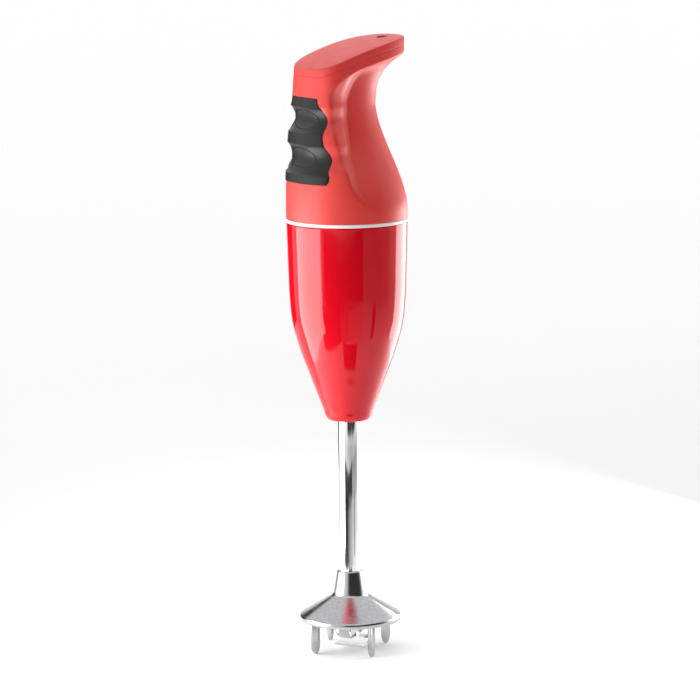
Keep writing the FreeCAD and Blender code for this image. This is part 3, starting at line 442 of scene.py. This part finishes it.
def behind_crease(y, height, step=0.5):
    """Look the table up, blending its four nearest places."""
    column = np.clip((y + 40) / step, 0, crease_table.shape[0] - 1.001)
    row = np.clip((height + 6) / step, 0, crease_table.shape[1] - 1.001)
    i, j = column.astype(int), row.astype(int)
    u, v = column - i, row - j
    return (crease_table[i, j] * (1 - u) * (1 - v) + crease_table[i + 1, j] * u * (1 - v)
            + crease_table[i, j + 1] * (1 - u) * v + crease_table[i + 1, j + 1] * u * v)


def soft_lower(a, b, reach):
    """The lower of two distances, with a fillet where they cross."""
    share = np.clip(0.5 + 0.5 * (b - a) / reach, 0, 1)
    return b * (1 - share) + a * share - reach * share * (1 - share)


def handle_outside(x, y, height):
    """About how far a point lies outside the handle, in millimetres."""
    block = outside(x, y, *block_size(height, finger_grooves(height)))
    neck = outside(x, y, *neck_size(height))
    fillet = 3 + 3 * np.clip((height - 30) / 35, 0, 1)
    lean = 1.3 * swell((y + 14) / 14)
    wall = (behind_crease(y, height) - lean * np.maximum(-block, 0)) / np.hypot(1, lean)
    scooped = soft_lower(neck, wall, fillet)
    return -soft_lower(-block, -scooped, 0.7)


print("handle form: parting runs from", round(float(crown(-24.6)) - parting_drop, 1), "to",
      round(float(crown(33.0)) - parting_drop, 1), "mm above its base")

# %% [markdown]
# A ring of points at each level is pushed outwards along rays until it meets
# the surface. The rings are level at the band and tilt gradually until the top
# one follows the parting line, and a flat grid from bmesh carries them.

# %% Rings, walls and grids
def cast(field, middle, level, around, deepest=46.0, wall_depth=0.0):
    """Distance along each ray from (0, middle) to where field reaches -wall_depth.

    level(y) gives the height at a place along the handle, ring by ring."""
    def value(distance):
        x, y = distance * np.sin(around), middle + distance * -np.cos(around)
        return field(x, y, level(y)) + wall_depth
    shape = np.broadcast(middle, around).shape
    near, far = np.full(shape, 0.5), np.full(shape, deepest)
    found = np.zeros(shape, bool)
    for distance in np.arange(deepest, 1.0, -0.75):
        fresh = (value(np.full(shape, distance)) <= 0) & ~found
        near = np.where(fresh, distance, near)
        far = np.where(fresh, distance + 0.75, far)
        found |= fresh
    for step in range(22):
        half = (near + far) / 2
        over = value(half) > 0
        far, near = np.where(over, half, far), np.where(over, near, half)
    return far


def grid_from(points, joined=True):
    """A bmesh grid whose points are set row by row, rolled up when joined."""
    rows, columns = points.shape[:2]
    if joined:
        points = np.concatenate([points, points[:, :1]], axis=1)
        columns += 1
    bm = bmesh.new()
    bmesh.ops.create_grid(bm, x_segments=columns - 1, y_segments=rows - 1, size=1)
    bm.verts.ensure_lookup_table()
    for vertex, place in zip(bm.verts, points.reshape(-1, 3)):
        vertex.co = place
    return bm


columns = 256
around = np.linspace(0, math.tau, columns, endpoint=False)[None, :]
edge_round = 0.4
close_up = np.array([0.0, 0.08, 0.2, 0.35, 0.5, 0.8])
ring_share = np.concatenate([close_up / 92, np.linspace(1.2 / 92, 1 - 1.2 / 92, 200),
                             1 - close_up[::-1] / 92])[:, None]


def edge_inset(distance, radius=edge_round):
    """How far a rounded edge draws in, at a distance from the corner."""
    inside_edge = np.clip(radius - distance, 0, radius)
    return radius - np.sqrt(radius ** 2 - inside_edge ** 2)


def handle_rings(wall_depth=0.0):
    middle = -1.5 + 5.5 * np.clip((ring_share - 0.6) / 0.4, 0, 1) ** 1.5
    level = lambda y: ring_share * (crown(y) - parting_drop)
    distance = cast(handle_outside, middle, level, around, wall_depth=wall_depth)
    if not wall_depth:
        distance -= edge_inset(np.minimum(ring_share, 1 - ring_share) * 92)
    x, y = distance * np.sin(around), middle - distance * np.cos(around)
    return np.stack([x, y, handle_base + level(y)], axis=-1)


skin = np.concatenate([handle_rings(), handle_rings(wall_depth=2.6)[::-4]], axis=0)
skin = np.concatenate([skin, skin[:1]], axis=0)
handle = piece_from("handle_grip", grid_from(skin), crease=50)

# %% [markdown]
# The pad is one moulding of soft rubber with flat bands between two deep
# finger scoops. Each scoop has an oval button. The pad's face is a grid laid
# over the front of the grip, and a slab of that shape also cuts the grip's
# recess, so that the two fit with a hairline all round.

# %% The pad's outline and face
pad_edge = np.array([
    (21.4, 21.6), (23.0, 22.5), (25.7, 22.7), (28.2, 22.1), (31.4, 21.6), (35.0, 21.0),
    (37.9, 20.5), (40.7, 19.9), (43.2, 19.0), (46.4, 18.4), (48.9, 18.3), (51.5, 18.1),
    (55.8, 17.5), (59.3, 17.0), (62.0, 16.0), (63.6, 14.6), (65.0, 13.7), (67.4, 13.2)])


def pad_half(height):
    return np.interp(height, pad_edge[:, 0], pad_edge[:, 1])


scoops = ((34.2, 7.9), (55.3, 6.9))
scoop_depth, proud = 3.0, 0.45
oval_wide, oval_tall = 13.0, 5.2
button_heights = {"lower": 35.2, "upper": 55.6}


def scoop_bite(height):
    bite = np.zeros_like(height)
    for centre, reach in scoops:
        share = np.clip(np.abs(height - centre) / reach, 0, 1)
        bite = bite + scoop_depth * (1 - share ** 2) ** 0.8
    return bite


def pad_face(x, height, lift=proud):
    """How far forward the pad's face stands, as a negative place along Y."""
    half_width, front, rear, squareness, _ = block_size(height, scoop_bite(height))
    middle, half_length = (rear - front) / 2, (rear + front) / 2 + lift
    share = np.clip(np.abs(x) / (half_width + lift), 0, 0.999)
    return middle - half_length * (1 - share ** squareness) ** (1 / squareness)


def face_grid(x, height, thickness, lift=proud, dish=None):
    """A slab that follows the pad's face over a grid of places."""
    face = pad_face(x, height, lift)
    if dish is not None:
        face = face + dish
    front = np.stack([x, face, handle_base + height], axis=-1)
    back = front + np.array([0, thickness, 0])
    bm = grid_from(front, joined=False)
    rear_side = grid_from(back, joined=False)
    mesh = bpy.data.meshes.new("rear_side")
    rear_side.to_mesh(mesh)
    rear_side.free()
    bm.from_mesh(mesh)
    bpy.data.meshes.remove(mesh)
    open_edges = [edge for edge in bm.edges if edge.is_boundary]
    bmesh.ops.bridge_loops(bm, edges=open_edges)
    return bm


def pad_grid(margin, rows=150, columns=91):
    """Places across and up the pad, out to its outline."""
    heights = np.linspace(pad_edge[0, 0] - margin, pad_edge[-1, 0] + margin, rows)
    corners = [centre + side * reach + step for centre, reach in scoops
               for side in (-1, 1) for step in (-0.05, 0, 0.05)]
    heights = np.unique(np.concatenate([heights, corners]))
    sideways = np.sin(np.linspace(-math.pi / 2, math.pi / 2, columns))
    across = sideways[None, :] * (pad_half(heights) + margin)[:, None]
    return across, np.repeat(heights[:, None], columns, axis=1)


def oval_slab(height, margin, lift, thickness):
    """A slab of the pad's face within an oval, to cut with."""
    spread = np.linspace(0, 1, 12)[:, None]
    turn = np.linspace(0, math.tau, 96, endpoint=False)[None, :]
    x = (oval_wide + margin) * spread * np.sin(turn)
    up = height - (oval_tall + margin) * spread * np.cos(turn)
    front = np.stack([x, pad_face(x, up) - lift, handle_base + up], axis=-1)
    back = np.stack([x, pad_face(x, up) + thickness, handle_base + up], axis=-1)
    return grid_from(np.concatenate([front, back[::-1]]))


pad_thick = 1.9
carve(handle, face_grid(*pad_grid(0.12), pad_thick + 8, dish=-8.0), crease=50)
for height in button_heights.values():
    carve(handle, oval_slab(height, 0.3, 8.0, 3.6), crease=50)
fit(handle, "housing", ["handle_shell"], coral)

# %% [markdown]
# The lid is a crowned cap with the same outline as the top of the grip. Rings
# run from the middle of its top, over a rounded edge, down its side, and back
# along its underside, so that one rolled grid makes the whole closed shell.

# %% Lid with the cord hole
def lid_ring(inset, height, share=1.0):
    """One ring of the lid: how far in from its outline, and above the parting."""
    middle = np.full((1, 1), 4.0)
    level = lambda y: crown(y) - parting_drop + height
    block = lambda x, y, up: outside(x, y, *block_size(up, 0))
    distance = (cast(block, middle, level, around) - inset) * share
    x, y = distance * np.sin(around), middle - distance * np.cos(around)
    camber = 0.5 * (1 - share ** 2) if height > 2.5 else 0.0
    return np.stack([x, y, handle_base + level(y) + camber], axis=-1)


lid_edge, lid_wall = 0.9, 2.2
rings = [lid_ring(lid_edge, parting_drop, share) for share in
         (0.0, 0.15, 0.3, 0.45, 0.6, 0.7, 0.8, 0.87, 0.93, 0.97)]
for step in range(7):
    angle = math.pi / 2 * step / 6
    rings.append(lid_ring(lid_edge * (1 - math.sin(angle)),
                          parting_drop - lid_edge * (1 - math.cos(angle))))
rings += [lid_ring(float(edge_inset(gap)), gap) for gap in (2.2, 1.2, 0.5, 0.35, 0.2, 0.08, 0.0)]
rings += [lid_ring(lid_wall, 0.0), lid_ring(lid_wall, 1.8)]
rings += [lid_ring(lid_wall, 1.8, share) for share in (0.7, 0.35, 0.0)]
lid = piece_from("top_lid", grid_from(np.concatenate(rings, axis=0)), crease=50)

inlet = bmesh.new()
bmesh.ops.create_cone(inlet, cap_ends=True, segments=64, radius1=3.25, radius2=3.25, depth=30)
bmesh.ops.translate(inlet, vec=(0, 23.4, handle_base + 95), verts=inlet.verts)
carve(lid, inlet, crease=50)
fit(lid, "housing", ["top_cover"], coral)

# %% [markdown]
# The pad itself is the same slab, a hair smaller, with softened edges. Ovals
# are cut out of it, and the buttons that fill them are dished for a fingertip.

# %% Rubber pad and buttons
across, tall = pad_grid(-0.05)
edge_fall = 0.5 * (1 - np.sqrt(np.clip(1 - np.clip(
    1 - (pad_half(tall) - np.abs(across)) / 0.6, 0, 1) ** 2, 0, 1)))
pad = piece_from("grip_pad", face_grid(across, tall, pad_thick - 0.1, dish=edge_fall), crease=28)
for height in button_heights.values():
    carve(pad, oval_slab(height, 0.12, 8.0, 8.0), crease=28)
fit(pad, "housing", ["switch_pad"], rubber)

for name, height in button_heights.items():
    spread = np.concatenate([[0.0], np.linspace(0.08, 0.9, 16), [0.94, 0.97, 0.985, 0.995, 1.0]])
    turn = np.linspace(0, math.tau, 128, endpoint=False)[None, :]
    x = oval_wide * spread[:, None] * np.sin(turn)
    up = height + oval_tall * spread[:, None] * -np.cos(turn)
    rim = np.clip((spread[:, None] - 0.94) / 0.06, 0, 1)
    dish = 0.55 * (1 - np.clip(spread[:, None] / 0.94, 0, 1) ** 2.2) + 0.35 * (
        1 - np.sqrt(1 - rim ** 2)) - 0.12
    front = np.stack([x, pad_face(x, up) + dish, handle_base + up], axis=-1)
    sides = front[-1:] + np.array([0, pad_thick, 0])
    middle = np.broadcast_to(sides.mean(axis=1, keepdims=True), sides.shape)
    button = piece_from(name + "_button_cap", grid_from(np.concatenate([front, sides, middle])),
                        crease=50)
    fit(button, name + "_button", [name + "_button"], rubber)

# %% [markdown]
# The studio is a white floor under an even white sky, with a strip of light at
# each side for the long highlights. Gloss plastic and chrome need something dark
# to mirror as well, so black flags stand around the object, and black and grey
# cards lie on the floor where each upright part mirrors them. Neither the flags
# nor the cards are seen directly, so they hide nothing from any side.

# %% Floor, lights and cards
def mirrored_only(card):
    """Let a card show in reflections and nowhere else."""
    card.visible_camera = card.visible_diffuse = card.visible_shadow = False


def stage_plane(name, size, place, aim, colour, roughness=0.9):
    """A flat sheet of stage that faces a point."""
    bm = bmesh.new()
    bmesh.ops.create_grid(bm, x_segments=1, y_segments=1, size=0.5)
    bmesh.ops.scale(bm, vec=(size[0], size[1], 1), verts=bm.verts)
    mesh = bpy.data.meshes.new(name)
    bm.to_mesh(mesh)
    bm.free()
    card = bpy.data.objects.new(name, mesh)
    bpy.context.scene.collection.objects.link(card)
    card.location = place
    card.rotation_euler = (Vector(aim) - Vector(place)).to_track_quat("Z", "Y").to_euler()
    card.data.materials.append(shader(name, colour, roughness)[0])
    return card


stage_plane("floor", (30, 30), (0, 0, 0), (0, 0, 1), (0.97, 0.97, 0.97))

view_angle = math.radians(59.737)
toward = Vector((math.sin(view_angle), -math.cos(view_angle), 0))
sideways_right = Vector((math.cos(view_angle), math.sin(view_angle), 0))


def from_camera(right, near, height):
    """A place by how far right, how near the camera and how high it is."""
    return sideways_right * right + toward * near + Vector((0, 0, height))


def soft_light(name, place, size, power, aim):
    """A rectangular light of a size in metres and a power in watts."""
    light = bpy.data.lights.new(name, "AREA")
    light.shape = "RECTANGLE"
    light.size, light.size_y = size
    light.energy = power
    lamp = bpy.data.objects.new(name, light)
    lamp.location = place
    lamp.visible_camera = False
    lamp.rotation_euler = (Vector(aim) - Vector(place)).to_track_quat("-Z", "Y").to_euler()
    bpy.context.scene.collection.objects.link(lamp)


card_thickness = 0.0015


def dark_patch(name, first, last, near, far, finish):
    """A matt card on the floor, between two bearings from the camera's side."""
    bm = bmesh.new()
    corners = []
    for bearing, reach in ((first, near), (last, near), (last, far), (first, far)):
        turn = math.radians(bearing)
        corner = from_camera(reach * math.sin(turn), reach * math.cos(turn), card_thickness)
        corners.append(bm.verts.new(corner))
    bm.faces.new(corners)
    bmesh.ops.subdivide_edges(bm, edges=bm.edges[:], cuts=6, use_grid_fill=True)
    mesh = bpy.data.meshes.new(name)
    bm.to_mesh(mesh)
    bm.free()
    card = bpy.data.objects.new(name, mesh)
    bpy.context.scene.collection.objects.link(card)
    card.data.materials.append(finish)
    mirrored_only(card)


black_card = shader("black_card", (0.008, 0.008, 0.009), 0.9)[0]
greys = [shader(f"grey_card_{step}", (tone, tone, tone), 0.9)[0]
         for step, tone in enumerate((0.25, 0.45, 0.62, 0.80))]
stem_near, stem_far, barrel_near, barrel_far = 0.24, 0.80, 0.80, 1.62
dark_patch("cone_card", -12, 22, 0.155, stem_near, black_card)
dark_patch("stem_card_left", -58, -14, stem_near, stem_far, black_card)
for step, grey in enumerate(greys):
    dark_patch(f"stem_card_grey_{step}", -14 + 15 * step, 1 + 15 * step, stem_near, stem_far,
               grey)
dark_patch("stem_card_right", 50, 57, 0.28, stem_far, black_card)
dark_patch("barrel_card", -46, 30, barrel_near, barrel_far, black_card)
dark_patch("barrel_card_right", 30, 88, barrel_near, barrel_far, greys[2])
flags = [
    stage_plane("rear_flag", (2.6, 1.7), from_camera(0.5, 2.3, 0.86), from_camera(0, 0, 0.3),
                (0.02, 0.02, 0.02)),
    stage_plane("right_flag", (1.7, 1.4), from_camera(1.3, 0.8, 0.72), from_camera(0, 0.1, 0.3),
                (0.02, 0.02, 0.02))]
edge_flags = [
    stage_plane("left_edge_flag", (0.38, 0.40), from_camera(-0.42, -0.54, 0.2),
                from_camera(0, 0, 0.2), (0.01, 0.01, 0.01)),
    stage_plane("right_edge_flag", (0.15, 0.40), from_camera(0.345, -0.64, 0.2),
                from_camera(0, 0, 0.2), (0.01, 0.01, 0.01))]
for flag in flags:
    flag.visible_camera = False
for flag in edge_flags:
    mirrored_only(flag)
soft_light("left_strip", from_camera(-0.26, 0.07, 0.11), (0.30, 0.22), 1.25,
           aim=from_camera(0, 0.07, 0.12))
soft_light("right_strip", from_camera(0.30, -0.243, 0.12), (0.335, 0.25), 1.4,
           aim=from_camera(0, -0.1, 0.12))
world = bpy.data.worlds.new("studio")
bpy.context.scene.world = world
world.use_nodes = True
world.node_tree.nodes["Background"].inputs["Color"].default_value = (1, 1, 1, 1)
world.node_tree.nodes["Background"].inputs["Strength"].default_value = 1.03

# %% [markdown]
# The camera stands a little above the object and looks at it almost level, from
# well back, so that uprights stay upright.

# %% Camera
lens_roll = math.radians(-0.511)
image_width, focal_length, sensor_width = 700, 3371.1, 36.0
camera_back, camera_height = 1.840677, 0.474347
aim_height, aim_right = 0.169756, 0.00106
target = Vector((0, 0, aim_height)) + sideways_right * aim_right
place = toward * camera_back + Vector((0, 0, camera_height))
camera = bpy.data.objects.new("camera", bpy.data.cameras.new("camera"))
bpy.context.scene.collection.objects.link(camera)
camera.data.sensor_width = sensor_width
camera.data.lens = focal_length / image_width * sensor_width
camera.location = place
look = (target - place).to_track_quat("-Z", "Y").to_matrix()
camera.rotation_euler = (look @ Matrix.Rotation(lens_roll, 3, "Z")).to_euler()
bpy.context.scene.camera = camera
bpy.context.scene.view_settings.view_transform = "Standard"
